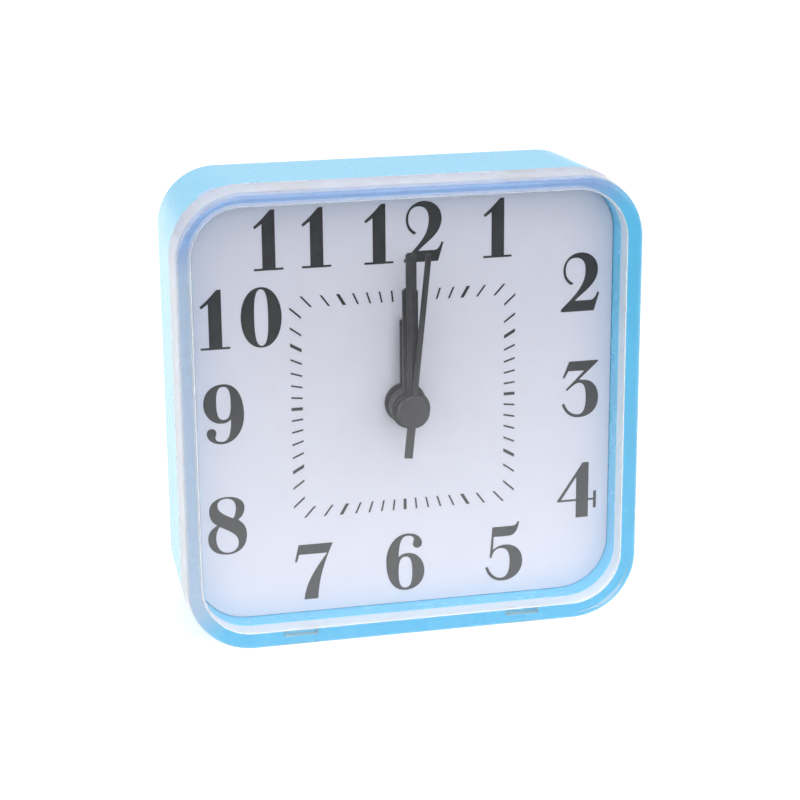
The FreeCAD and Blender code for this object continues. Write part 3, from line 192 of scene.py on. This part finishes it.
def surface(name, colour, roughness, metallic=0.0, variation=0.05, spread=0.15, scale=400.0,
            bump=0.1, depth=0.00002, fine=6000.0, **sockets):
    """A Principled surface whose colour, roughness and height all vary a little."""
    material, tree, output = new_material(name)
    shader = tree.nodes.new("ShaderNodeBsdfPrincipled")
    broad = object_noise(tree, scale)
    darker = tuple(c * (1 - variation) for c in colour)
    lighter = tuple(min(1, c * (1 + variation)) for c in colour)
    tree.links.new(blended(tree, mapped(tree, broad, 0, 1), darker, lighter), shader.inputs["Base Color"])
    polish = mapped(tree, object_noise(tree, scale * 3), roughness * (1 - spread), roughness * (1 + spread))
    tree.links.new(polish, shader.inputs["Roughness"])
    uneven(tree, shader, fine, 3.0, bump, depth)
    shader.inputs["Metallic"].default_value = metallic
    for socket, value in sockets.items():
        shader.inputs[socket.replace("_", " ")].default_value = value
    tree.links.new(shader.outputs["BSDF"], output.inputs["Surface"])
    return material


def case_plastic():
    """Blue plastic; the rim under the clear cover and the clip pockets get painted light, an emission coloured by
    side, in place of the light that the cover's wall gathers.
    """
    material = surface("blue case plastic", (0.14, 0.635, 0.95), 0.27, variation=0.015, spread=0.05,
                       scale=80.0, bump=0.006, fine=30.0, Subsurface_Scale=0.002)
    tree = material.node_tree
    shader = next(node for node in tree.nodes if node.type == "BSDF_PRINCIPLED")
    x, y, z = object_axes(tree)
    # Where the painted glow goes: the rim face under the cover and the clip pockets
    on_rim = calculated(tree, "COMPARE", y, rim_depth, rim_tolerance)
    height = calculated(tree, "ABSOLUTE", calculated(tree, "SUBTRACT", z, mid_height))
    near_pocket = calculated(tree, "COMPARE", height, pocket_offset, clip_pocket_half)
    before_pocket_end = calculated(tree, "LESS_THAN", y, rim_depth + clip_pocket_depth)
    in_pocket = calculated(tree, "MULTIPLY", near_pocket, before_pocket_end)
    painted_glow_mask = calculated(tree, "MAXIMUM", on_rim, in_pocket)
    left_to_top = ramped(tree, z, mid_height + left_to_top_start, mid_height + left_to_top_end)
    painted_glow_left_and_top = blended(tree, left_to_top, painted_rim_glow_left, painted_rim_glow_top)
    diagonal = calculated(tree, "SUBTRACT", x, z)
    lower_right = ramped(tree, diagonal, -mid_height - diagonal_half, -mid_height + diagonal_half)
    # Painted light: the rim and pockets glow, in a colour that changes from the left to the top and to the lower
    # right
    tree.links.new(blended(tree, lower_right, painted_glow_left_and_top, painted_rim_glow_lower_right), shader.inputs["Emission Color"])
    tree.links.new(painted_glow_mask, shader.inputs["Emission Strength"])
    normal_x, normal_y, normal_z = face_normal(tree)
    outward = looking_outward(tree, x, z, normal_x, normal_z)
    glow_inside = ramped(tree, outward, outward_start, outward_end, subsurface_weight, 0.0)
    tree.links.new(glow_inside, shader.inputs["Subsurface Weight"])
    return material


def clear_plastic(name):
    """Clear moulded polystyrene, a little milky on its sides; shadow rays pass, so the dial is lit."""
    material, tree, output = new_material(name)
    shader = tree.nodes.new("ShaderNodeBsdfPrincipled")
    shader.inputs["Base Color"].default_value = (0.985, 0.99, 1.0, 1)
    shader.inputs["Transmission Weight"].default_value = 1.0
    shader.inputs["IOR"].default_value = 1.5
    tree.links.new(mapped(tree, object_noise(tree, 300.0), 0.012, 0.03), shader.inputs["Roughness"])
    uneven(tree, shader, 120.0, 2.0, 0.04, 0.00003)
    milky = tree.nodes.new("ShaderNodeBsdfDiffuse")
    milky.inputs["Color"].default_value = (0.88, 0.90, 0.93, 1)
    x, y, z = object_axes(tree)
    normal_x, normal_y, normal_z = face_normal(tree)
    outward = looking_outward(tree, x, z, normal_x, normal_z)
    sideways = ramped(tree, calculated(tree, "ABSOLUTE", normal_y), facing_forward, facing_sideways)
    amount = ramped(tree, outward, -milky_half, milky_half, milky_inside, milky_outside)
    share = calculated(tree, "MULTIPLY", sideways, amount)
    solid = mixed_shader(tree, share, shader.outputs["BSDF"], milky.outputs["BSDF"])
    path = tree.nodes.new("ShaderNodeLightPath")
    passing = tree.nodes.new("ShaderNodeBsdfTransparent")
    passing.inputs["Color"].default_value = (0.95, 0.955, 0.97, 1)
    mix = mixed_shader(tree, path.outputs["Is Shadow Ray"], solid, passing.outputs["BSDF"])
    tree.links.new(mix, output.inputs["Surface"])
    return material


finishes = {
    "blue_plastic": case_plastic(),
    "clear_plastic": clear_plastic("clear cover plastic"),
    "dial_white": surface("dial white", (0.72, 0.72, 0.805), 0.5, variation=0.012, bump=0.05),
    "dial_print": surface("printed black", (0.024, 0.024, 0.027), 0.5, variation=0.2, bump=0.05),
    "hand_grey": surface("dark hands", (0.045, 0.045, 0.047), 0.42, variation=0.2, bump=0.08),
    "movement_plastic": surface("black moulding", (0.02, 0.02, 0.022), 0.45, variation=0.15),
    "plate_plastic": surface("natural moulding", (0.72, 0.70, 0.64), 0.4),
    "wheel_plastic": surface("wheel moulding", (0.75, 0.70, 0.55), 0.35, Subsurface_Weight=0.1,
                             Subsurface_Scale=0.001),
    "pinion_plastic": surface("red moulding", (0.55, 0.08, 0.05), 0.35),
    "knob_plastic": surface("knob moulding", (0.03, 0.032, 0.035), 0.42, variation=0.15, bump=0.2),
    "steel": surface("turned steel", (0.58, 0.58, 0.60), 0.25, metallic=1.0),
    "silicon_steel": surface("stamped steel", (0.42, 0.42, 0.44), 0.38, metallic=1.0),
    "magnet": surface("sintered magnet", (0.12, 0.12, 0.13), 0.6, variation=0.15, bump=0.3),
    "copper_wire": surface("enamelled copper", (0.62, 0.22, 0.09), 0.3, metallic=0.9, scale=2500.0, bump=0.5,
                           fine=5000.0),
    "brass": surface("brass", (0.75, 0.55, 0.22), 0.28, metallic=1.0),
    "ceramic": surface("fired ceramic", (0.78, 0.76, 0.70), 0.5),
    "board_green": surface("solder mask", (0.03, 0.20, 0.07), 0.35, variation=0.15),
    "chip_black": surface("moulded package", (0.015, 0.015, 0.017), 0.55, bump=0.3),
    "spring_steel": surface("plated spring", (0.70, 0.69, 0.66), 0.22, metallic=1.0),
    "cell_jacket": surface("cell jacket", (0.05, 0.12, 0.32), 0.35, variation=0.1),
    "wire_red": surface("red insulation", (0.45, 0.02, 0.02), 0.45),
    "wire_black": surface("black insulation", (0.02, 0.02, 0.022), 0.45),
}

for part in frame["record"]["subparts"]:
    node = nodes[part["node"]]
    node.data.materials.clear()
    node.data.materials.append(finishes[part["material_slot"]])


# Floor, world and lights

def plain_floor():
    """Pale paint that shows white to the camera; reflections see a painted reflection instead, a glow brightest
    near the clock.
    """
    material, tree, output = new_material("pale floor")
    paint = tree.nodes.new("ShaderNodeBsdfDiffuse")
    tree.links.new(blended(tree, object_noise(tree, floor_scale), floor_dark, floor_light), paint.inputs["Color"])
    path = tree.nodes.new("ShaderNodeLightPath")
    glow = tree.nodes.new("ShaderNodeEmission")
    tree.links.new(calculated(tree, "MULTIPLY", path.outputs["Is Camera Ray"], floor_glow), glow.inputs["Strength"])
    both = tree.nodes.new("ShaderNodeAddShader")
    tree.links.new(paint.outputs["BSDF"], both.inputs[0])
    tree.links.new(glow.outputs["Emission"], both.inputs[1])
    x, y, z = object_axes(tree)
    # Painted reflection: in reflections the floor is a glow, strongest near the clock and a little stronger behind
    # on the left
    before_clock = ramped(tree, y, painted_reflection_far, painted_reflection_near, painted_reflection_low, painted_reflection_high)
    behind = ramped(tree, y, 0.0, behind_depth)
    behind_left = calculated(tree, "MULTIPLY", behind, ramped(tree, x, left_start, left_end))
    gain = calculated(tree, "MULTIPLY", behind_left, painted_reflection_behind_left_gain)
    painted_reflection_glow = tree.nodes.new("ShaderNodeEmission")
    strength = calculated(tree, "MULTIPLY", before_clock, calculated(tree, "ADD", gain, 1.0))
    tree.links.new(strength, painted_reflection_glow.inputs["Strength"])
    mix = mixed_shader(tree, path.outputs["Is Glossy Ray"], both.outputs["Shader"], painted_reflection_glow.outputs["Emission"])
    tree.links.new(mix, output.inputs["Surface"])
    return material


def studio_world():
    """Soft light on the clock, and white to the camera, in reflections and through the cover."""
    world = bpy.data.worlds.new("studio")
    world.use_nodes = True
    tree = world.node_tree
    tree.nodes.clear()
    output = tree.nodes.new("ShaderNodeOutputWorld")
    skies = []
    for colour, strength in (((0.95, 0.97, 1.0, 1), lit_sky), ((1, 1, 1, 1), seen_sky)):
        sky = tree.nodes.new("ShaderNodeBackground")
        sky.inputs["Color"].default_value = colour
        sky.inputs["Strength"].default_value = strength
        skies.append(sky.outputs["Background"])
    path = tree.nodes.new("ShaderNodeLightPath")
    directly = calculated(tree, "MAXIMUM", path.outputs["Is Camera Ray"], path.outputs["Is Glossy Ray"])
    seen = calculated(tree, "MAXIMUM", directly, path.outputs["Is Transmission Ray"])
    tree.links.new(mixed_shader(tree, seen, *skies), output.inputs["Surface"])
    return world


def softbox(name, place, size, power):
    """A square area light that looks at the middle of the clock."""
    data = bpy.data.lights.new(name, "AREA")
    data.shape = "SQUARE"
    data.size = size
    data.energy = power
    lamp = bpy.data.objects.new(name, data)
    scene.collection.objects.link(lamp)
    lamp.location = place
    aim = Vector((0, 0, aim_height)) - Vector(place)
    lamp.rotation_euler = aim.to_track_quat("-Z", "Y").to_euler()


bpy.ops.mesh.primitive_plane_add(size=floor_size, location=(0, 0, 0))
floor = bpy.context.object
floor.name = "floor"
floor.data.materials.append(plain_floor())

scene.world = studio_world()

softbox("left key", (-0.75, -0.35, 0.45), 0.7, 2.2)
softbox("top fill", (0.1, -0.2, 0.95), 0.8, 2.4)
softbox("front fill", (0.0, -0.95, 0.45), 0.6, 1.8)
softbox("right fill", (0.8, -0.5, 0.5), 0.6, 1.2)

camera_data = bpy.data.cameras.new("camera")
camera_data.sensor_width = camera_sensor
camera_data.lens = camera_lens
camera_data.clip_start = camera_near
camera_data.clip_end = camera_far
camera = bpy.data.objects.new("camera", camera_data)
scene.collection.objects.link(camera)
camera.location = camera_place
camera.rotation_euler = camera_turn
scene.camera = camera
scene.view_settings.view_transform = "Standard"
